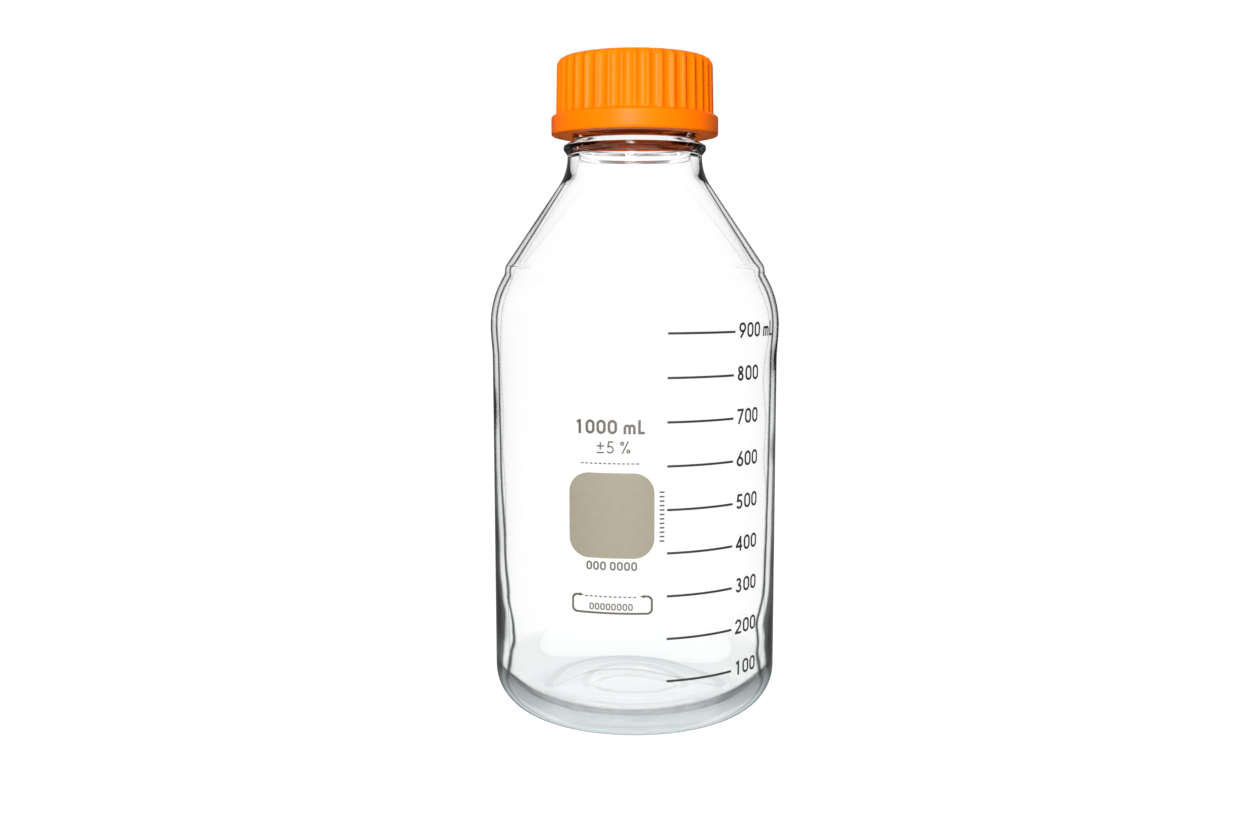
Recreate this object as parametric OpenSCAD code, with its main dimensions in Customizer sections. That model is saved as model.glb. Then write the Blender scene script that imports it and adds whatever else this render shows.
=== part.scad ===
// A one litre laboratory bottle with a 45 mm screw cap, a pouring ring and a fired enamel scale.
// It stands on the origin with its axis on +Z. The print faces -Y. Millimetres.

/* [Bottle] */
// Outer radius of the straight part of the body
body_r = 50.5; // [50:0.1:51]
// Thickness of the body wall
wall = 3.3; // [2.8:0.1:3.5]
// Height of the glass from the table to the lip
lip_z = 225; // [224:0.5:227]
// Outer rounding between the body and the base
heel_r = 15; // [12:1:15]
// Outer radius of the swelling under the shoulder
swell_r = 51.1; // [51:0.1:51.4]
// Radius of the bore through the neck
bore_r = 15; // [14.6:0.1:15.6]

/* [Neck thread] */
// Radius of the glass between the turns
root_r = 20.9; // [20.7:0.1:21]
// Radius of the crest of the glass thread
crest_r = 22.4; // [22.2:0.1:22.5]
// Height of the middle of the glass thread where it starts
thread_z = 209.4; // [209:0.1:209.6]
// Turns of thread on the glass
thread_turns = 1.75; // [1:0.25:1.75]

/* [Cap] */
// Height of the bottom edge of the closed cap
cap_z = 203.5; // [203:0.1:204]
// Height of the top face of the closed cap
cap_top_z = 229.9; // [229.4:0.1:230.4]
// Radius over the ribs at the top of the cap
cap_top_r = 27.1; // [26.9:0.1:27.3]
// Radius over the ribs where they meet the collar
cap_low_r = 27.7; // [27.5:0.1:27.9]
// Radius of the smooth collar
collar_r = 29.2; // [29:0.1:29.6]
// Number of grip ribs
ribs = 38; // [34:1:40]

/* [Print] */
// Height of the 100 mL line
scale_z = 22.7; // [21:0.1:24]
// Height of the scale's numerals
numeral_h = 5; // [4:0.1:5.2]
// Side of the square marking spot
spot_side = 28; // [24:1:30]
// Thickness of the fired enamel
enamel = 0.1; // [0.06:0.01:0.12]

/* [Hidden] */
$fn = 96;

// glass heights, from the table up
swell_z = 131.5;
shoulder_z = 146.7;
groove_z = 155.8;
cone_z = 158.1;
neck_z = 190.9;
bead_z = 199.4;
throat_z = 206.4;
foot_z = 207.2;
seat_z = 219.1;
// glass radii
stand_r = 34;
groove_r = 45.9;
neck_r = 23.6;
bead_r = 25;
throat_r = 21.8;
seat_r = 20;
inner_r = body_r - wall;
floor_z = 6.6;

// largest turn between two points of a rounding
arc_step = 9;

// thread forms; the pitch is the standard one for this neck
pitch = 4;
thread_parts = 24;
thread_fade = 45;
thread_bite = 0.3;
glass_half_root = 1.2;
glass_half_crest = 0.5;
cap_half_root = 0.8;
cap_half_crest = 0.4;
cap_bore_r = 22.9;
cap_crest_r = 21.4;
cap_turns = 1.5;

// pouring ring and seal
ring_gap = 0.05;
ring_z = 219.8;
ring_top_z = 226.2;
ring_r = 20.9;
seal_z = 226.3;
seal_top_z = 227.95;
seal_r = 22.4;
plug_z = 224;
plug_r = 14.6;

// cap details
plate_z = 228;
collar_h = 6.8;
flute_r = 2.45;
flute_depth = 0.9;
rim_r = 2.6;

// print
skin_gap = 0.02;
glyph_cut = 4;
mark_step = 1e5 / (PI * inner_r * inner_r);
line_from = 12;
line_to = 40;
line_h = 0.75;

glass_col = [0.86, 0.93, 0.93, 0.35];
cap_col = [1, 0.5, 0.03];
ring_col = [0.93, 0.45, 0.04];
ink_col = [0.36, 0.33, 0.29];
spot_col = [0.72, 0.67, 0.57];

// ---- outlines: each point is [x, y, rounding], given anticlockwise ----
function corner(pts, i) = let (p = pts[(i + len(pts)) % len(pts)]) [p[0], p[1]];
function unit(v) = v / norm(v);
function back(pts, i) = unit(corner(pts, i - 1) - corner(pts, i));
function ahead(pts, i) = unit(corner(pts, i + 1) - corner(pts, i));
function half_angle(pts, i) = acos(back(pts, i) * ahead(pts, i)) / 2;
function reach(pts, i) = pts[i][2] / tan(half_angle(pts, i));
function arc_start(pts, i) = corner(pts, i) + back(pts, i) * reach(pts, i);
function arc_end(pts, i) = corner(pts, i) + ahead(pts, i) * reach(pts, i);
function arc_centre(pts, i) =
    corner(pts, i) + unit(back(pts, i) + ahead(pts, i)) * pts[i][2] / sin(half_angle(pts, i));
function turns_left(pts, i) = cross(ahead(pts, i), back(pts, i)) > 0;
function heading(v) = atan2(v[1], v[0]);
function arc_sweep(pts, i) = (180 - 2 * half_angle(pts, i)) * (turns_left(pts, i) ? 1 : -1);
function corner_arc(pts, i) =
    let (c = arc_centre(pts, i), from = heading(arc_start(pts, i) - c), sweep = arc_sweep(pts, i),
         parts = ceil(abs(sweep) / arc_step))
    [for (k = [0:parts]) c + pts[i][2] * [cos(from + sweep * k / parts), sin(from + sweep * k / parts)]];

module outline(pts) {
    polygon([for (i = [0:len(pts) - 1]) each (pts[i][2] > 0 ? corner_arc(pts, i) : [corner(pts, i)])]);
}

// ---- glass ----
underside = [[0, 4.4, 0], [16.5, 4.4, 1.5], [19, 2.7, 2], [30, 1.9, 4], [stand_r, 0, 1]];
outside = [
    [body_r, 0, heel_r], [body_r, swell_z - 4, 50], [swell_r, swell_z + 4, 50],
    [swell_r, shoulder_z, 32], [groove_r, groove_z, 1.2], [groove_r, cone_z, 4],
    [neck_r, neck_z, 18], [neck_r, bead_z - 2.5, 0.8], [bead_r, bead_z - 0.7, 0.7],
    [bead_r, bead_z + 0.7, 0.7], [throat_r, bead_z + 2.5, 1.2], [throat_r, throat_z, 0.5],
    [root_r, foot_z, 0.5], [root_r, seat_z - 0.9, 0.5], [seat_r, seat_z, 0.5]];
lip = [[seat_r, lip_z, 1.6], [bore_r, lip_z, 1.6]];
inside = [
    [bore_r, bead_z + 6.6, 4], [neck_r - 3.8, bead_z - 0.7, 6], [neck_r - 3.4, neck_z + 0.6, 20],
    [groove_r - 2.6, cone_z - 1.2, 3], [groove_r - 2.9, groove_z - 1.2, 1.2],
    [swell_r - wall, shoulder_z - 2, 29], [swell_r - wall, swell_z + 4, 50],
    [inner_r, swell_z - 4, 50], [inner_r, floor_z, 12], [30, floor_z, 20],
    [17, floor_z + 2, 8], [0, floor_z + 2.6, 0]];

// a ridge with tapered ends, wound about +Z; its foot is sunk by thread_bite
function ridge_fade(a, sweep) = min(1, a / thread_fade, (sweep - a) / thread_fade);
function ridge_ring(a, sweep, foot_r, top_r, half_foot, half_top) =
    let (f = max(ridge_fade(a, sweep), 0.02), z = pitch * a / 360, side = sign(top_r - foot_r),
         r = foot_r + (top_r - foot_r) * f, h = half_foot + (half_top - half_foot) * f,
         sunk_r = foot_r - side * thread_bite)
    [for (p = [[sunk_r, z - half_foot], [r, z - h], [r, z + h], [sunk_r, z + half_foot]])
        [p[0] * cos(a), p[0] * sin(a), p[1]]];

module ridge(turns, foot_r, top_r, half_foot, half_top) {
    steps = round(turns * thread_parts);
    sweep = turns * 360;
    points = [for (i = [0:steps])
        each ridge_ring(sweep * i / steps, sweep, foot_r, top_r, half_foot, half_top)];
    outward = top_r > foot_r;
    faces = concat(
        [[3, 2, 1, 0], [for (k = [0:3]) 4 * steps + k]],
        [for (i = [0:steps - 1], k = [0:3]) let (n = (k + 1) % 4)
            each [[4 * i + k, 4 * i + n, 4 * i + 4 + n], [4 * i + k, 4 * i + 4 + n, 4 * i + 4 + k]]]);
    polyhedron(points = points,
               faces = outward ? faces : [for (f = faces) [for (k = [len(f) - 1:-1:0]) f[k]]]);
}

module bottle() {
    color(glass_col) {
        rotate_extrude() outline(concat(underside, outside, lip, inside));
        translate([0, 0, thread_z])
            ridge(thread_turns, root_r, crest_r, glass_half_root, glass_half_crest);
    }
}

// ---- pouring ring, pressed over the lip ----
module pouring_ring() {
    grip_r = seat_r + ring_gap;
    seat = lip_z + ring_gap;
    color(ring_col) rotate_extrude() outline([
        [grip_r, ring_z, 0.2], [ring_r, ring_z, 0.3], [ring_r, ring_top_z, 0.9],
        [bore_r + 0.7, ring_top_z, 0.5], [bore_r + 0.3, seat, 0.1], [grip_r, seat, 0]]);
}

// ---- seal: a disc under the cap's plate, with a plug lip inside the pouring ring ----
module cap_seal() {
    color(ring_col) rotate_extrude() outline([
        [0, seal_z + 0.5, 0], [plug_r - 1.6, seal_z + 0.5, 0.4], [plug_r - 1.2, plug_z, 0.3],
        [plug_r - 0.3, plug_z, 0.3], [plug_r, seal_z, 0.3], [seal_r, seal_z, 0.3],
        [seal_r, seal_top_z, 0.3], [0, seal_top_z, 0]]);
}

// ---- cap ----
// hollow flutes, leaning in with the taper, that leave narrow ribs between them
module flutes() {
    tall = cap_top_z - cap_z;
    lean = atan2(cap_low_r - cap_top_r, tall);
    for (i = [0:ribs - 1]) rotate((i + 0.5) * 360 / ribs)
        translate([0, flute_depth - flute_r - cap_low_r, cap_z]) rotate([-lean, 0, 0])
            translate([0, 0, 1]) cylinder(r = flute_r, h = tall + 2, $fn = 32);
}

module ribbed_crown() {
    difference() {
        rotate_extrude() outline([
            [0, cap_z, 0], [cap_low_r, cap_z, 0], [cap_top_r, cap_top_z, rim_r], [0, cap_top_z, 0]]);
        flutes();
    }
}

module collar() {
    top_z = cap_z + collar_h;
    rotate_extrude() outline([
        [0, cap_z, 0], [collar_r, cap_z, 0.9], [collar_r, top_z, 0.9],
        [cap_low_r - 2 * flute_depth, top_z + 1, 0], [0, top_z + 1, 0]]);
}

module cap_bore() {
    rotate_extrude() outline([
        [0, cap_z - 1, 0], [cap_bore_r + 2.2, cap_z - 1, 0], [cap_bore_r, cap_z + 1.2, 0],
        [cap_bore_r, plate_z, 0.8], [0, plate_z, 0]]);
}

module cap() {
    color(cap_col) {
        difference() {
            union() {
                ribbed_crown();
                collar();
            }
            cap_bore();
        }
        rotate([0, 0, -90]) translate([0, 0, thread_z + 1])
            ridge(cap_turns, cap_bore_r, cap_crest_r, cap_half_root, cap_half_crest);
    }
}

// ---- print: everything is cut from a thin skin that follows the glass ----
module skin() {
    low = body_r + skin_gap;
    step_out = swell_r - body_r;
    top_z = swell_z + 9.5;
    rotate_extrude() outline([
        [low, heel_r, 0], [low + enamel, heel_r, 0], [low + enamel, swell_z - 4, 50],
        [low + step_out + enamel, swell_z + 4, 50], [low + step_out + enamel, top_z, 0],
        [low + step_out, top_z, 0], [low + step_out, swell_z + 4, 50], [low, swell_z - 4, 50]]);
}

module fired(col) {
    color(col) intersection() {
        skin();
        union() children();
    }
}

// stands a flat drawing on the glass, centred at this angle and height
module on_glass(angle, z) {
    rotate([0, 0, angle]) translate([0, glyph_cut - body_r, z]) rotate([90, 0, 0])
        linear_extrude(height = 1.5 * glyph_cut) children();
}

// a level line between two angles, centred at this height
module level_line(from, to, z, h) {
    far = 2 * body_r;
    translate([0, 0, z - h / 2]) linear_extrude(height = h) polygon(
        concat([[0, 0]], [for (a = [from, (from + to) / 2, to]) far * [sin(a), -cos(a)]]));
}

// strokes, drawn in a cell one unit tall
module bar(a, b, s) {
    angle = atan2(b[1] - a[1], b[0] - a[0]);
    translate(a) rotate(angle) translate([0, -s / 2]) square([norm(b - a), s]);
}

module bow(c, r, from, to, s) {
    far = 3 * r;
    parts = 4;
    translate(c) intersection() {
        difference() {
            circle(r = r + s / 2, $fn = 48);
            circle(r = r - s / 2, $fn = 48);
        }
        polygon(concat([[0, 0]],
            [for (k = [0:parts]) let (a = from + (to - from) * k / parts) far * [cos(a), sin(a)]]));
    }
}

module loop(c, r, s) {
    translate(c) difference() {
        circle(r = r + s / 2, $fn = 48);
        circle(r = r - s / 2, $fn = 48);
    }
}

module zero(s) {
    r = 0.33;
    difference() {
        pill(r, 0.5 - r);
        pill(r - s, 0.5 - r);
    }
}

// an upright pill of half width r, whose round ends sit this far above and below the middle
module pill(r, rise) {
    translate([0.33, 0.5]) {
        translate([-r, -rise]) square([2 * r, 2 * rise]);
        for (y = [-rise, rise]) translate([0, y]) circle(r = r, $fn = 48);
    }
}

module six(s) {
    r = 0.33 - s / 2;
    loop([0.33, 0.33], r, s);
    bar([0.33 - r * cos(28), 0.33 + r * sin(28)], [0.5, 1], s);
}

module glyph(c, s) {
    e = s / 2;
    if (c == "0") zero(s);
    if (c == "1") {
        bar([0.36, 0], [0.36, 1], s);
        bar([0.14, 0.8], [0.36, 1 - e], s);
    }
    if (c == "2") {
        bow([0.31, 0.69], 0.31 - e, -35, 175, s);
        bar([0.31 + 0.22 * cos(35), 0.69 - 0.27 * sin(35)], [0.06, e], s);
        bar([0, e], [0.62, e], s);
    }
    if (c == "3") {
        bow([0.3, 0.74], 0.26 - e, -100, 150, s);
        bow([0.3, 0.29], 0.29 - e, -160, 100, s);
    }
    if (c == "4") {
        bar([0.46, 0], [0.46, 1], s);
        bar([0.47, 0.96], [0.06, 0.3], s);
        bar([0, 0.3], [0.64, 0.3], s);
    }
    if (c == "5") {
        bow([0.29, 0.32], 0.32 - e, -150, 125, s);
        bar([0.12, 0.46], [0.2, 1], s);
        bar([0.14, 1 - e], [0.58, 1 - e], s);
    }
    if (c == "6") six(s);
    if (c == "7") {
        bar([0.02, 1 - e], [0.64, 1 - e], s);
        bar([0.16, 0], [0.56, 1 - e], s);
    }
    if (c == "8") {
        loop([0.31, 0.75], 0.25 - e, s);
        loop([0.31, 0.28], 0.28 - e, s);
    }
    if (c == "9") translate([0.66, 1]) rotate(180) six(s);
    if (c == "m") {
        for (x = [e, 0.42, 0.84 - e]) bar([x, 0], [x, 0.44], s);
        for (x = [e, 0.42]) bow([(x + x + 0.42 - e) / 2, 0.44], (0.42 - e) / 2, 0, 180, s);
    }
    if (c == "L") {
        bar([e, 0], [e, 1], s);
        bar([0, e], [0.46, e], s);
    }
    if (c == "+") {
        bar([0.3, 0.3], [0.3, 0.9], s);
        bar([0, 0.6], [0.6, 0.6], s);
        bar([0, e], [0.6, e], s);
    }
    if (c == "%") {
        loop([0.16, 0.82], 0.17 - e, s);
        loop([0.66, 0.18], 0.17 - e, s);
        bar([0.16, 0], [0.66, 1], s);
    }
}

// width of a glyph's cell with the space after it, in glyph heights
function advance(c) = c == "m" ? 1.02 : c == "%" ? 1 : c == " " ? 0.32 : c == "L" ? 0.6 : 0.8;
function run(word, n) = n <= 0 ? 0 : run(word, n - 1) + advance(word[n - 1]);

// a word of this height on the glass; its lower left corner is at this angle and height
module word(w, angle, z, h, s) {
    for (k = [0:len(w) - 1]) if (w[k] != " ")
        on_glass(angle + (run(w, k) + 0.33) * h / body_r * 180 / PI, z)
            scale(h) translate([-0.33, 0]) glyph(w[k], s);
}

// one step of the scale: a line and its value in millilitres
module scale_mark(n) {
    z = scale_z + (n - 1) * mark_step;
    fired(ink_col) {
        level_line(line_from, line_to, z, line_h);
        word(n == 9 ? "900 mL" : str(n, "00"), 42, z - 0.4 * numeral_h, numeral_h, 0.155);
    }
}

module capacity_mark() {
    fired(ink_col) word("1000 mL", -22.4, 104.7, 4.6, 0.18);
}

module tolerance_mark() {
    fired(ink_col) word("+5 %", -14, 98.4, 4, 0.12);
}

// a row of short dashes between two angles
module dashes(from, to, count, z, h) {
    step = (to - from) / count;
    fired(ink_col) for (k = [0:count - 1])
        level_line(from + k * step, from + (k + 0.6) * step, z, h);
}

module marking_spot() {
    half = spot_side / 2;
    fired(spot_col) on_glass(-8.8, 64) outline([
        [-half, 0, 6.6], [half, 0, 6.6], [half, spot_side, 6.6], [-half, spot_side, 6.6]]);
}

module type_number() {
    fired(ink_col) word("000 0000", -18.1, 60, 2.9, 0.18);
}

// a round-cornered tray open at the top, its two ends turned in to small arrow heads
module code_frame() {
    half = 13.4;
    tall = 6.4;
    s = 0.65;
    tip = 3.2;
    fired(ink_col) on_glass(-8.6, 45.4) {
        difference() {
            outline([[-half, 0, 1.8], [half, 0, 1.8], [half, tall, 1.8], [-half, tall, 1.8]]);
            outline([[s - half, s, 1.3], [half - s, s, 1.3], [half - s, tall - s, 1.3],
                     [s - half, tall - s, 1.3]]);
            translate([tip - half, tall / 2]) square([2 * (half - tip), tall]);
        }
        for (m = [0, 1]) mirror([m, 0])
            polygon([[tip - half - 0.6, tall + 0.25], [tip - half + 1, tall - s / 2],
                     [tip - half - 0.6, tall - s - 0.25]]);
    }
}

module code_number() {
    fired(ink_col) word("00000000", -17, 46.7, 2.3, 0.17);
}

// short level dashes, one above the other
module side_rule() {
    count = 12;
    low = 69;
    high = 86.5;
    step = (high - low) / count;
    fired(ink_col) for (k = [0:count - 1])
        level_line(9.2, 11, low + (k + 0.5) * step, 0.35 * step);
}

bottle();
pouring_ring();
cap_seal();
cap();
scale_mark(1);  // scale_100
scale_mark(2);  // scale_200
scale_mark(3);  // scale_300
scale_mark(4);  // scale_400
scale_mark(5);  // scale_500
scale_mark(6);  // scale_600
scale_mark(7);  // scale_700
scale_mark(8);  // scale_800
scale_mark(9);  // scale_900
capacity_mark();
tolerance_mark();
dashes(-20.1, 2.3, 13, 95.1, 0.4);  // upper_rule
marking_spot();
type_number();
code_frame();
dashes(-18.7, 1.3, 11, 51.2, 0.4);  // code_rule
code_number();
side_rule();
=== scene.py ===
"""Looks of a one litre laboratory bottle with an orange screw cap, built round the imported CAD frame."""

import math

import bmesh
import bpy
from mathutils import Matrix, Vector, noise


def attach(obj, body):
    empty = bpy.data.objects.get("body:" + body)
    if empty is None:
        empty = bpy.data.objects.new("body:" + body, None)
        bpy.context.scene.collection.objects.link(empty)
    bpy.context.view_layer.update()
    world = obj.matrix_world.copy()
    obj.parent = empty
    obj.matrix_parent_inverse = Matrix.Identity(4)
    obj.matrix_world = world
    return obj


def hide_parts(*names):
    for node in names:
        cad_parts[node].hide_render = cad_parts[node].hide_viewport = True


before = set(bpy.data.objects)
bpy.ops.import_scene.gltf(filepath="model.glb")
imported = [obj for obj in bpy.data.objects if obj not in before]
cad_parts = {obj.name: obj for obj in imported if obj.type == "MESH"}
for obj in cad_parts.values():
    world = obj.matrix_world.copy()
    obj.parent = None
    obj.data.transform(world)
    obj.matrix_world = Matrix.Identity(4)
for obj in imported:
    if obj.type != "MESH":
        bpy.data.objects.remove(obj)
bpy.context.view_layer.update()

MM = 0.001

# the height, in metres, over which the glass material varies
GLASS_SPAN = 0.23

# the glass, in millimetres, as in the CAD source
BODY_R, WALL, LIP_Z, HEEL_R, SWELL_R, BORE_R = 50.5, 3.3, 225.0, 15.0, 51.1, 15.0
SWELL_Z, SHOULDER_Z, GROOVE_Z, CONE_Z = 131.5, 146.7, 155.8, 158.1
NECK_Z, BEAD_Z, THROAT_Z, FOOT_Z, SEAT_Z = 190.9, 199.4, 206.4, 207.2, 219.1
STAND_R, GROOVE_R, NECK_R, BEAD_R, THROAT_R, SEAT_R = 34.0, 45.9, 23.6, 25.0, 21.8, 20.0
FLOOR_Z = 6.6
INNER_R = BODY_R - WALL
# its thread
PITCH, ROOT_R, CREST_R, THREAD_Z, THREAD_TURNS = 4.0, 20.9, 22.4, 209.4, 1.75
THREAD_FADE, HALF_ROOT, HALF_CREST = 45.0, 1.2, 0.5
# the cap
CAP_Z, CAP_TOP_Z, CAP_TOP_R, CAP_LOW_R, COLLAR_R = 203.5, 229.9, 27.1, 27.7, 29.2
RIBS, FLUTE_R, FLUTE_DEPTH, RIM_R, COLLAR_H, PLATE_Z = 38, 2.45, 0.9, 2.6, 6.8, 228.0
CAP_BORE_R, CAP_CREST_R, CAP_TURNS, CAP_HALF_ROOT, CAP_HALF_CREST = 22.9, 21.4, 1.5, 0.8, 0.4
# how fine the meshes are: points round the bottle and to each rib, and the longest steps along an outline
BOTTLE_TURN, RIB_POINTS, OUTLINE_STEP, THREAD_STEP, RIDGE_PARTS = 192, 16, 2.0, 0.25, 96
# edges sharper than this, in radians, stay sharp
CREASE = 0.7
# the blown inner wall waves by this much between these heights, easing in and out over these lengths
WAVE, WAVE_LOW, WAVE_HIGH, WAVE_EASE_LOW, WAVE_EASE_HIGH = 0.55, 10, 190, 12, 30


# ---------------------------------------------------------------- node helpers
def material(name):
    """A new material, with its Principled shader."""
    mat = bpy.data.materials.new(name)
    mat.use_nodes = True
    return mat, mat.node_tree, mat.node_tree.nodes["Principled BSDF"]


def node(tree, kind, **values):
    """A node of that kind, with its properties and its sockets' values set by name."""
    made = tree.nodes.new(kind)
    for key, value in values.items():
        name = key.replace("_", " ")
        if name in made.inputs:
            made.inputs[name].default_value = value
        else:
            setattr(made, key, value)
    return made


def object_noise(tree, scale, detail, rough, stretch=(1, 1, 1)):
    """Noise in the object's own space, in metres."""
    coords = tree.nodes.new("ShaderNodeTexCoord")
    mapping = tree.nodes.new("ShaderNodeMapping")
    mapping.inputs["Scale"].default_value = stretch
    tex = node(tree, "ShaderNodeTexNoise", Scale=scale, Detail=detail, Roughness=rough)
    tree.links.new(coords.outputs["Object"], mapping.inputs["Vector"])
    tree.links.new(mapping.outputs["Vector"], tex.inputs["Vector"])
    return tex


def ramp(tree, source, stops):
    """A colour ramp fed by a socket; stops are (position, colour)."""
    made = tree.nodes.new("ShaderNodeValToRGB")
    elements = made.color_ramp.elements
    while len(elements) < len(stops):
        elements.new(0.5)
    for element, (position, colour) in zip(elements, stops):
        element.position = position
        element.color = (*colour, 1)
    tree.links.new(source, made.inputs["Fac"])
    return made


def spread(tree, source, low, high, to_low, to_high):
    """Maps a socket's range to another."""
    made = tree.nodes.new("ShaderNodeMapRange")
    for name, value in (("From Min", low), ("From Max", high), ("To Min", to_low), ("To Max", to_high)):
        made.inputs[name].default_value = value
    tree.links.new(source, made.inputs["Value"])
    return made.outputs["Result"]


def math_node(tree, operation, *values):
    """A maths node; each value is a number or a socket. Returns its output."""
    made = tree.nodes.new("ShaderNodeMath")
    made.operation = operation
    for socket, value in zip(made.inputs, values):
        if isinstance(value, (int, float)):
            socket.default_value = value
        else:
            tree.links.new(value, socket)
    return made.outputs[0]


def bump(tree, bsdf, height, strength, distance):
    """Feeds a height into the shader's normal."""
    made = node(tree, "ShaderNodeBump", Strength=strength, Distance=distance)
    tree.links.new(height, made.inputs["Height"])
    tree.links.new(made.outputs["Normal"], bsdf.inputs["Normal"])


# ---------------------------------------------------------------- materials
def see_through(tree, shader, facing, height):
    """Lets the lamps' light through the glass, and some of the view through its thick heel; what it lets
    through is tinted darker where the glass is seen edge-on, painted shade for thin dark outline lines.
    """
    path = tree.nodes.new("ShaderNodeLightPath")
    clear = tree.nodes.new("ShaderNodeBsdfTransparent")
    # painted shade: the see-through tint darkens at the glass silhouettes
    tint = ramp(tree, facing, [
        (0.0, (0.97, 0.98, 0.98)), (0.75, (0.93, 0.96, 0.965)),
        (0.9, (0.6, 0.68, 0.7)), (1.0, (0.3, 0.36, 0.38))])
    tree.links.new(tint.outputs["Color"], clear.inputs["Color"])
    mix = tree.nodes.new("ShaderNodeMixShader")
    heel = spread(tree, height, 0.003, 0.018, 0.75, 0.0)
    tree.links.new(math_node(tree, "MAXIMUM", path.outputs["Is Shadow Ray"], heel), mix.inputs["Fac"])
    tree.links.new(shader.outputs[0], mix.inputs[1])
    tree.links.new(clear.outputs[0], mix.inputs[2])
    tree.links.new(mix.outputs[0], tree.nodes["Material Output"].inputs["Surface"])


def clear_glass(name):
    """Clear glass; also returns how far it faces away from the eye, and the height in metres."""
    mat, tree, bsdf = material(name)
    bsdf.inputs["Transmission Weight"].default_value = 1.0
    bsdf.inputs["IOR"].default_value = 1.473
    bsdf.inputs["Roughness"].default_value = 0.0
    bsdf.inputs["Specular Tint"].default_value = (0.25, 0.25, 0.25, 1)
    coords = tree.nodes.new("ShaderNodeTexCoord")
    split = tree.nodes.new("ShaderNodeSeparateXYZ")
    tree.links.new(coords.outputs["Object"], split.inputs["Vector"])
    height = split.outputs["Z"]
    facing = node(tree, "ShaderNodeLayerWeight", Blend=0.5).outputs["Facing"]
    see_through(tree, bsdf, facing, height)
    return mat, tree, bsdf, facing, height


def glass_material():
    """The outer skin, with two painted dark lines by its outline, painted shade standing in for dark
    surroundings seen through the glass edge, that widen unevenly on the thick lower wall.
    """
    mat, tree, bsdf, facing, height = clear_glass("borosilicate_glass")
    # painted shade: this height band widens the dark outline lines towards the bottom of the wall
    painted_shade_band = tree.nodes.new("ShaderNodeFloatCurve")
    curve = painted_shade_band.mapping.curves[0]
    for at, lift in ((0.03, 0.0), (0.09, 0.12), (0.14, 0.18), (0.2, 0.1), (0.3, 0.05), (0.5, 0.0)):
        curve.points.new(at, lift)
    curve.points[0].location = (0.0, 0.0)
    curve.points[-1].location = (1.0, 0.0)
    painted_shade_band.mapping.update()
    tree.links.new(spread(tree, height, 0.0, GLASS_SPAN, 0.0, 1.0), painted_shade_band.inputs["Value"])
    uneven = object_noise(tree, 34, 2, 0.5, (1, 1, 1.6))
    shift = spread(tree, uneven.outputs["Fac"], 0.3, 0.7, 0.6, 1.3)
    edge = math_node(tree, "ADD", facing, math_node(tree, "MULTIPLY", painted_shade_band.outputs["Value"], shift))
    clear, faint, dark = (0.99, 1.0, 0.995), (0.97, 1.0, 0.99), (0.012, 0.014, 0.014)
    # painted shade: dark lines in the base colour where the skin is seen edge-on, standing in for dark
    # surroundings
    rim = ramp(tree, edge, [
        (0.0, (1.0, 1.0, 1.0)), (0.67, clear), (0.7, dark), (0.725, dark), (0.75, faint), (0.8, faint),
        (0.85, (0.02, 0.024, 0.023)), (1.0, (0.003, 0.004, 0.004))])
    tree.links.new(rim.outputs["Color"], bsdf.inputs["Base Color"])
    return mat


def inner_glass_material():
    """The inner skin, with painted shade: its base colour dark only where the eye skims it, for dark outline
    lines.
    """
    mat, tree, bsdf, facing, _ = clear_glass("borosilicate_glass_inside")
    # painted shade: dark base colour where the inner skin is seen edge-on
    rim = ramp(tree, facing, [(0.0, (1.0, 1.0, 1.0)), (0.84, (0.99, 1.0, 0.995)), (0.9, (0.1, 0.11, 0.11))])
    tree.links.new(rim.outputs["Color"], bsdf.inputs["Base Color"])
    return mat


def cap_material():
    """Satin orange plastic with a faint cloud of colour and a fine grain."""
    mat, tree, bsdf = material("orange_polypropylene")
    cloud = object_noise(tree, 60, 4, 0.6)
    tint = ramp(tree, cloud.outputs["Fac"], [(0.3, (0.93, 0.148, 0.0)), (0.7, (0.98, 0.166, 0.0))])
    tree.links.new(tint.outputs["Color"], bsdf.inputs["Base Color"])
    bsdf.inputs["IOR"].default_value = 1.49
    bsdf.inputs["Specular IOR Level"].default_value = 0.07
    tree.links.new(spread(tree, cloud.outputs["Fac"], 0.3, 0.7, 0.34, 0.42), bsdf.inputs["Roughness"])
    grain = object_noise(tree, 2600, 2, 0.5)
    bump(tree, bsdf, grain.outputs["Fac"], 0.03, 0.0001)
    return mat


def ring_material(name, low, high):
    """Smoother, softer orange plastic for the pouring ring and the seal."""
    mat, tree, bsdf = material(name)
    cloud = object_noise(tree, 90, 3, 0.5)
    tint = ramp(tree, cloud.outputs["Fac"], [(0.3, low), (0.7, high)])
    tree.links.new(tint.outputs["Color"], bsdf.inputs["Base Color"])
    bsdf.inputs["Subsurface Weight"].default_value = 0.15
    bsdf.inputs["Subsurface Radius"].default_value = (1.0, 0.4, 0.1)
    bsdf.inputs["Subsurface Scale"].default_value = 0.0015
    tree.links.new(spread(tree, cloud.outputs["Fac"], 0.3, 0.7, 0.34, 0.44), bsdf.inputs["Roughness"])
    grain = object_noise(tree, 1800, 2, 0.5)
    bump(tree, bsdf, grain.outputs["Fac"], 0.05, 0.0001)
    return mat


def enamel_material(name, dark, light, roughness):
    """Fired enamel: a fine mottle of colour, with slightly rough grain."""
    mat, tree, bsdf = material(name)
    mottle = object_noise(tree, 420, 5, 0.65)
    tint = ramp(tree, mottle.outputs["Fac"], [(0.32, dark), (0.68, light)])
    tree.links.new(tint.outputs["Color"], bsdf.inputs["Base Color"])
    tree.links.new(spread(tree, mottle.outputs["Fac"], 0.3, 0.7, roughness - 0.06, roughness + 0.06),
                   bsdf.inputs["Roughness"])
    grain = object_noise(tree, 5200, 3, 0.6)
    bump(tree, bsdf, grain.outputs["Fac"], 0.12, 0.00005)
    return mat


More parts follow.
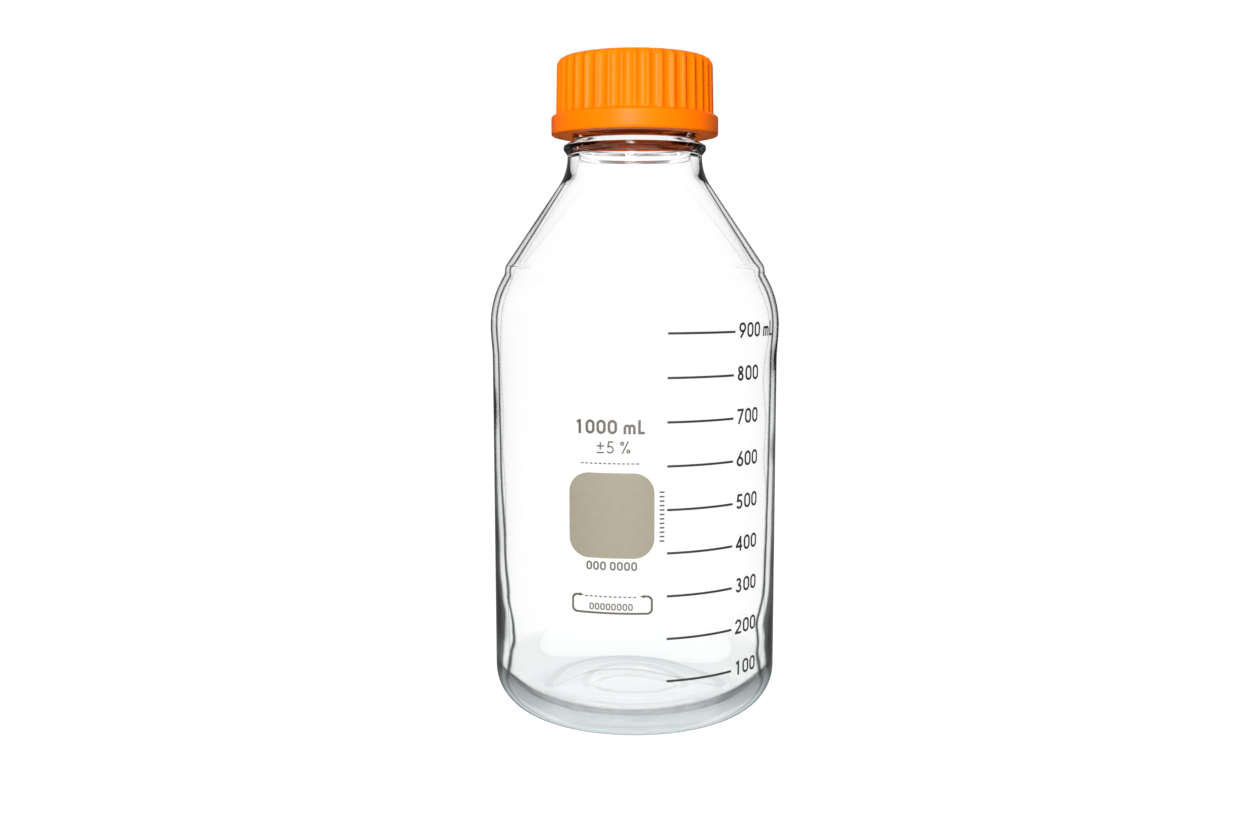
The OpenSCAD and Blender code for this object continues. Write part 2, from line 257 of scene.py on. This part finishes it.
# ---------------------------------------------------------------- outlines
def rounded(points, step=6.0):
    """The outline of (x, z, rounding) corners, each rounding an arc in steps of so many degrees."""
    made = []
    for i, (x, z, r) in enumerate(points):
        here = Vector((x, z))
        if r <= 0:
            made.append(here)
            continue
        behind = (Vector(points[i - 1][:2]) - here).normalized()
        ahead = (Vector(points[(i + 1) % len(points)][:2]) - here).normalized()
        half = math.acos(max(-1, min(1, behind.dot(ahead)))) / 2
        centre = here + (behind + ahead).normalized() * r / math.sin(half)
        start = here + behind * r / math.tan(half) - centre
        end = here + ahead * r / math.tan(half) - centre
        turn = math.atan2(start.x * end.y - start.y * end.x, start.dot(end))
        parts = max(2, math.ceil(abs(math.degrees(turn)) / step))
        begin = math.atan2(start.y, start.x)
        for k in range(parts + 1):
            a = begin + turn * k / parts
            made.append(centre + r * Vector((math.cos(a), math.sin(a))))
    return made


def divided(points, longest):
    """The same open outline, with no stretch longer than this."""
    made = [points[0]]
    for a, b in zip(points, points[1:]):
        parts = max(1, math.ceil((b - a).length / longest))
        made += [a.lerp(b, k / parts) for k in range(1, parts + 1)]
    return made


def glass_outline():
    """The bottle's outline: from the middle of the underside up, over the lip and down the inside."""
    underside = [(0, 4.4, 0), (16.5, 4.4, 1.5), (19, 2.7, 2), (30, 1.9, 4), (STAND_R, 0, 1)]
    outside = [
        (BODY_R, 0, HEEL_R), (BODY_R, SWELL_Z - 4, 50), (SWELL_R, SWELL_Z + 4, 50),
        (SWELL_R, SHOULDER_Z, 32), (GROOVE_R, GROOVE_Z, 3), (GROOVE_R, CONE_Z, 4),
        (NECK_R, NECK_Z, 18), (NECK_R, BEAD_Z - 2.5, 0.8), (BEAD_R, BEAD_Z - 0.7, 0.7),
        (BEAD_R, BEAD_Z + 0.7, 0.7), (THROAT_R, BEAD_Z + 2.5, 1.2), (THROAT_R, THROAT_Z, 0.5),
        (ROOT_R, FOOT_Z, 0.5), (ROOT_R, SEAT_Z - 0.9, 0.5), (SEAT_R, SEAT_Z, 0.5)]
    lip = [(SEAT_R, LIP_Z, 1.6), (BORE_R, LIP_Z, 1.6)]
    inside = [
        (BORE_R, BEAD_Z + 6.6, 4), (NECK_R - 3.8, BEAD_Z - 0.7, 6), (NECK_R - 3.4, NECK_Z + 0.6, 20),
        (GROOVE_R - 3, CONE_Z - 0.9, 1), (GROOVE_R - 3, GROOVE_Z - 0.8, 5.5),
        (SWELL_R - WALL, SHOULDER_Z - 2, 29), (SWELL_R - WALL, SWELL_Z + 4, 50),
        (INNER_R, SWELL_Z - 4, 50), (INNER_R, FLOOR_Z, 12), (30, FLOOR_Z, 20),
        (17, FLOOR_Z + 2, 8), (0, FLOOR_Z + 2.6, 0)]
    return rounded(underside + outside + lip + inside)


def turned(bm, rows, inside_from=math.inf):
    """Faces between rows of (radius, z) points, one to each equal turn; radius 0 makes a single point.

    The faces that start from row number inside_from or a later one take the second material.
    """
    count = len(rows[0])
    turn = 2 * math.pi / count
    rings = []
    for row in rows:
        if row[0][0] < 1e-6:
            rings.append([bm.verts.new((0, 0, row[0][1] * MM))])
            continue
        rings.append([bm.verts.new((r * math.cos(k * turn) * MM, r * math.sin(k * turn) * MM, z * MM))
                      for k, (r, z) in enumerate(row)])
    for i, (low, high) in enumerate(zip(rings, rings[1:])):
        for k in range(count):
            n = (k + 1) % count
            if len(low) == 1:
                face = bm.faces.new((low[0], high[n], high[k]))
            elif len(high) == 1:
                face = bm.faces.new((low[k], low[n], high[0]))
            else:
                face = bm.faces.new((low[k], low[n], high[n], high[k]))
            face.material_index = int(i >= inside_from)


def finished(bm, name, mats, replaced, body):
    """Turns a bmesh into a piece that stands in for one CAD node."""
    bmesh.ops.recalc_face_normals(bm, faces=bm.faces)
    for edge in bm.edges:
        edge.smooth = edge.calc_face_angle(0) < CREASE
    for face in bm.faces:
        face.smooth = True
    mesh = bpy.data.meshes.new(name)
    bm.to_mesh(mesh)
    bm.free()
    piece = bpy.data.objects.new(name, mesh)
    bpy.context.scene.collection.objects.link(piece)
    for mat in mats:
        mesh.materials.append(mat)
    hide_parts(replaced)
    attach(piece, body)
    return piece


# ---------------------------------------------------------------- bottle
def thread_rise(angle, z):
    """How far the glass thread stands out of its root at this angle, in degrees, and height."""
    sweep = THREAD_TURNS * 360
    rise = 0.0
    turn = angle % 360
    while turn <= sweep:
        fade = min(1, turn / THREAD_FADE, (sweep - turn) / THREAD_FADE)
        off = abs(z - THREAD_Z - PITCH * turn / 360)
        flat = HALF_ROOT + (HALF_CREST - HALF_ROOT) * fade
        slope = 1.0 if off <= flat else max(0.0, (HALF_ROOT - off) / max(HALF_ROOT - flat, 0.05))
        rise = max(rise, (CREST_R - ROOT_R) * fade * slope)
        turn += 360
    return rise


def glass_wave(angle, z):
    """How far the blown inner wall strays from a true cylinder."""
    a = math.radians(angle)
    place = Vector((0.9 * math.cos(a), 0.9 * math.sin(a), z / 21))
    return WAVE * noise.noise(place + Vector((3.1, 7.7, 0.4)))


def on_root(a, b):
    """Whether this stretch of the outline lies on the straight root of the thread."""
    return max(abs(a.x - ROOT_R), abs(b.x - ROOT_R)) < 1e-4 and FOOT_Z < a.y < SEAT_Z


def outer_radius(r, z, angle):
    """The outer skin, with the thread standing out of its root."""
    if THROAT_Z < z < SEAT_Z - 0.5 and r > SEAT_R:
        return max(r, ROOT_R + thread_rise(angle, z))
    return r


def inner_radius(r, z, angle):
    """The inner skin, whose waves ease off towards the floor, the neck and the middle."""
    if WAVE_LOW < z < WAVE_HIGH:
        ease = min(1, (z - WAVE_LOW) / WAVE_EASE_LOW, (WAVE_HIGH - z) / WAVE_EASE_HIGH)
        return r + ease * glass_wave(angle, z) * min(1, (r - 14) / 8)
    return r


def build_bottle(mat, inside_mat):
    """The bottle as one closed skin, finer along the thread, with its own material on the inside."""
    outline = divided(glass_outline(), OUTLINE_STEP)
    fine = []
    for p, q in zip(outline, outline[1:]):
        parts = math.ceil(abs(q.y - p.y) / THREAD_STEP) if on_root(p, q) else 1
        fine += [(p.x, p.y + (q.y - p.y) * k / parts) for k in range(parts)]
    fine.append(tuple(outline[-1]))
    lip_at = max(range(len(fine)), key=lambda i: fine[i][1])
    angles = [360 * k / BOTTLE_TURN for k in range(BOTTLE_TURN)]
    rows = []
    for i, (r, z) in enumerate(fine):
        radius = inner_radius if i > lip_at else outer_radius
        rows.append([(radius(r, z, angle), z) for angle in angles])
    bm = bmesh.new()
    turned(bm, rows, lip_at)
    return finished(bm, "glass_bottle", (mat, inside_mat), "bottle", "bottle")


# ---------------------------------------------------------------- cap
def crown_radius(z):
    """The crown's outer radius at this height: a slight taper, then the rounded rim."""
    slope = (CAP_TOP_R - CAP_LOW_R) / (CAP_TOP_Z - CAP_Z)
    radius = CAP_LOW_R + slope * (z - CAP_Z)
    over = z - (CAP_TOP_Z - RIM_R)
    if over > 0:
        radius += math.sqrt(max(0.0, RIM_R * RIM_R - over * over)) - RIM_R
    return radius


def flute_cut(angle):
    """How deep the hollow flute between two ribs is at this angle: 0 on a rib's crest."""
    pitch = 2 * math.pi * CAP_LOW_R / RIBS
    off = ((angle + 90) * RIBS / 360) % 1.0 - 0.5
    inside = FLUTE_R * FLUTE_R - (off * pitch) ** 2
    return max(0.0, math.sqrt(max(0.0, inside)) - FLUTE_R + FLUTE_DEPTH)


def build_cap(mat):
    """The cap, in rows from the middle of its inside, down the bore, round the collar and up."""
    collar_top = CAP_Z + COLLAR_H
    rim_z = CAP_TOP_Z - RIM_R
    bore = [(0, PLATE_Z), (12, PLATE_Z), (CAP_BORE_R, PLATE_Z), (CAP_BORE_R, PLATE_Z - 0.8),
            (CAP_BORE_R, 216), (CAP_BORE_R, 208), (CAP_BORE_R, CAP_Z + 1.2), (CAP_BORE_R + 1.2, CAP_Z)]
    collar = [(COLLAR_R - 0.9, CAP_Z), (COLLAR_R - 0.35, CAP_Z + 0.12), (COLLAR_R - 0.1, CAP_Z + 0.4),
              (COLLAR_R, CAP_Z + 0.9), (COLLAR_R, CAP_Z + 2.5), (COLLAR_R, CAP_Z + 4.5),
              (COLLAR_R, collar_top - 0.9), (COLLAR_R - 0.12, collar_top - 0.45),
              (COLLAR_R - 0.5, collar_top - 0.1), (COLLAR_R - 0.95, collar_top + 0.05)]
    around = RIBS * RIB_POINTS
    rows = [[Vector(point)] * around for point in bore + collar]
    heights = [collar_top + 0.35 + 0.0001]
    while heights[-1] < rim_z:
        heights.append(min(rim_z, heights[-1] + 1.2))
    heights += [rim_z + RIM_R * math.sin(math.radians(t)) for t in range(8, 90, 8)]
    for z in heights:
        over = max(0.0, (z - CAP_TOP_Z + RIM_R) / RIM_R)
        rise, fade = min(1.0, (z - collar_top) / 0.6), max(0.0, 1 - over ** 4)
        rows.append([(crown_radius(z) - flute_cut(360 * k / around) * rise * fade, z) for k in range(around)])
    top_r = crown_radius(CAP_TOP_Z)
    rows += [[(r, CAP_TOP_Z)] * around for r in (top_r - 0.4, top_r * 0.7, top_r * 0.35, 0)]
    bm = bmesh.new()
    turned(bm, rows)
    wound_ridge(bm)
    return finished(bm, "ribbed_cap", (mat,), "cap", "cap")


def wound_ridge(bm):
    """The cap's own thread: a ridge with tapered ends, wound inside the bore and sunk into its wall."""
    sweep = CAP_TURNS * 360
    sunk_r = CAP_BORE_R + 0.3
    last = None
    for i in range(RIDGE_PARTS + 1):
        turn = sweep * i / RIDGE_PARTS
        fade = max(0.02, min(1, turn / THREAD_FADE, (sweep - turn) / THREAD_FADE))
        z = THREAD_Z + 1 + PITCH * turn / 360
        r = CAP_BORE_R + (CAP_CREST_R - CAP_BORE_R) * fade
        half = CAP_HALF_ROOT + (CAP_HALF_CREST - CAP_HALF_ROOT) * fade
        a = math.radians(turn - 90)
        section = ((sunk_r, z - CAP_HALF_ROOT), (r, z - half), (r, z + half), (sunk_r, z + CAP_HALF_ROOT))
        ring = [bm.verts.new((q * math.cos(a) * MM, q * math.sin(a) * MM, h * MM)) for q, h in section]
        if last:
            for k in range(4):
                n = (k + 1) % 4
                bm.faces.new((last[k], last[n], ring[n], ring[k]))
        else:
            bm.faces.new(ring)
        last = ring
    bm.faces.new(last)


# ---------------------------------------------------------------- stage
def build_camera():
    """Just above the shoulder's height, looking slightly down."""
    data = bpy.data.cameras.new("camera")
    data.sensor_width = 36
    data.lens = 36.43
    data.clip_start = 0.01
    cam = bpy.data.objects.new("camera", data)
    bpy.context.scene.collection.objects.link(cam)
    cam.location = (0, -0.456, 0.1569)
    cam.rotation_euler = (math.radians(90 - 6.69), 0, math.radians(0.211))
    bpy.context.scene.camera = cam


def build_floor():
    """A plain pale floor: white to look at, but it throws little light back on to the bottle."""
    mat, tree, bsdf = material("pale_floor")
    cloud = object_noise(tree, 3, 2, 0.5)
    tint = ramp(tree, cloud.outputs["Fac"], [(0.3, (0.86, 0.86, 0.86)), (0.7, (0.9, 0.9, 0.9))])
    bsdf.inputs["Roughness"].default_value = 0.7
    path = tree.nodes.new("ShaderNodeLightPath")
    dim = node(tree, "ShaderNodeMix", data_type="RGBA")
    bounced = math_node(tree, "MAXIMUM", path.outputs["Is Diffuse Ray"], path.outputs["Is Glossy Ray"])
    tree.links.new(bounced, dim.inputs["Factor"])
    tree.links.new(tint.outputs["Color"], dim.inputs["A"])
    dim.inputs["B"].default_value = (0.1, 0.1, 0.1, 1)
    tree.links.new(dim.outputs["Result"], bsdf.inputs["Base Color"])
    seen = math_node(tree, "MAXIMUM", path.outputs["Is Camera Ray"], path.outputs["Is Transmission Ray"])
    glow = node(tree, "ShaderNodeEmission", Color=(1, 1, 1, 1), Strength=1.09)
    mix = tree.nodes.new("ShaderNodeMixShader")
    tree.links.new(math_node(tree, "MULTIPLY", seen, 0.93), mix.inputs["Fac"])
    tree.links.new(bsdf.outputs[0], mix.inputs[1])
    tree.links.new(glow.outputs[0], mix.inputs[2])
    tree.links.new(mix.outputs[0], tree.nodes["Material Output"].inputs["Surface"])
    bpy.ops.mesh.primitive_circle_add(vertices=96, radius=6, fill_type="NGON", location=(0, 0, -0.0002))
    floor = bpy.context.object
    floor.name = "floor"
    floor.data.materials.append(mat)


def area_light(name, place, target, size, power):
    """A soft rectangular lamp that points at the target."""
    data = bpy.data.lights.new(name, "AREA")
    data.shape = "RECTANGLE"
    data.size, data.size_y = size
    data.energy = power
    light = bpy.data.objects.new(name, data)
    bpy.context.scene.collection.objects.link(light)
    light.location = place
    light.rotation_euler = (Vector(target) - Vector(place)).to_track_quat("-Z", "Y").to_euler()
    return light


def build_light():
    """A white room, dim in reflections and lighter from behind, with a soft key light and a fill behind."""
    world = bpy.data.worlds.new("studio")
    bpy.context.scene.world = world
    world.use_nodes = True
    tree = world.node_tree
    back = tree.nodes["Background"]
    coords = tree.nodes.new("ShaderNodeTexCoord")
    split = tree.nodes.new("ShaderNodeSeparateXYZ")
    tree.links.new(coords.outputs["Generated"], split.inputs["Vector"])
    path = tree.nodes.new("ShaderNodeLightPath")
    seen = math_node(tree, "MAXIMUM", path.outputs["Is Camera Ray"], path.outputs["Is Transmission Ray"])
    lit = spread(tree, split.outputs["Y"], 0.2, 0.9, 0.14, 0.75)
    loss = math_node(tree, "MULTIPLY", path.outputs["Is Glossy Ray"], 0.75)
    lit = math_node(tree, "MULTIPLY", lit, math_node(tree, "SUBTRACT", 1, loss))
    unseen = math_node(tree, "MULTIPLY", lit, math_node(tree, "SUBTRACT", 1, seen))
    white = math_node(tree, "MULTIPLY", seen, 1.03)
    tree.links.new(math_node(tree, "ADD", white, unseen), back.inputs["Strength"])
    back.inputs["Color"].default_value = (1, 1, 1, 1)
    area_light("key", (-0.15, -1.1, 0.5), (0, 0, 0.2), (0.3, 0.6), 24)
    fill = area_light("fill", (0.35, 0.9, 0.65), (0, 0, 0.2), (0.5, 0.5), 13)
    fill.visible_camera = fill.visible_glossy = fill.visible_transmission = False


def finish_carried():
    """Materials for the CAD nodes that stay as they are: the ring, the seal and the print."""
    scale_ink = enamel_material("scale_enamel", (0.024, 0.021, 0.018), (0.04, 0.035, 0.03), 0.5)
    print_ink = enamel_material("print_enamel", (0.066, 0.058, 0.046), (0.093, 0.081, 0.065), 0.5)
    own = {
        "pouring_ring": ring_material("ring_polypropylene", (0.7, 0.09, 0.001), (0.78, 0.105, 0.001)),
        "cap_seal": ring_material("seal_polypropylene", (0.8, 0.11, 0.001), (0.88, 0.13, 0.001)),
        "marking_spot": enamel_material("spot_enamel", (0.224, 0.2, 0.149), (0.243, 0.217, 0.163), 0.6),
    }
    for name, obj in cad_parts.items():
        if name not in ("bottle", "cap"):
            ink = scale_ink if name.startswith("scale_") else print_ink
            obj.data.materials.clear()
            obj.data.materials.append(own.get(name, ink))


build_bottle(glass_material(), inner_glass_material())
build_cap(cap_material())
finish_carried()
build_camera()
build_floor()
build_light()
bpy.context.scene.view_settings.view_transform = "Standard"
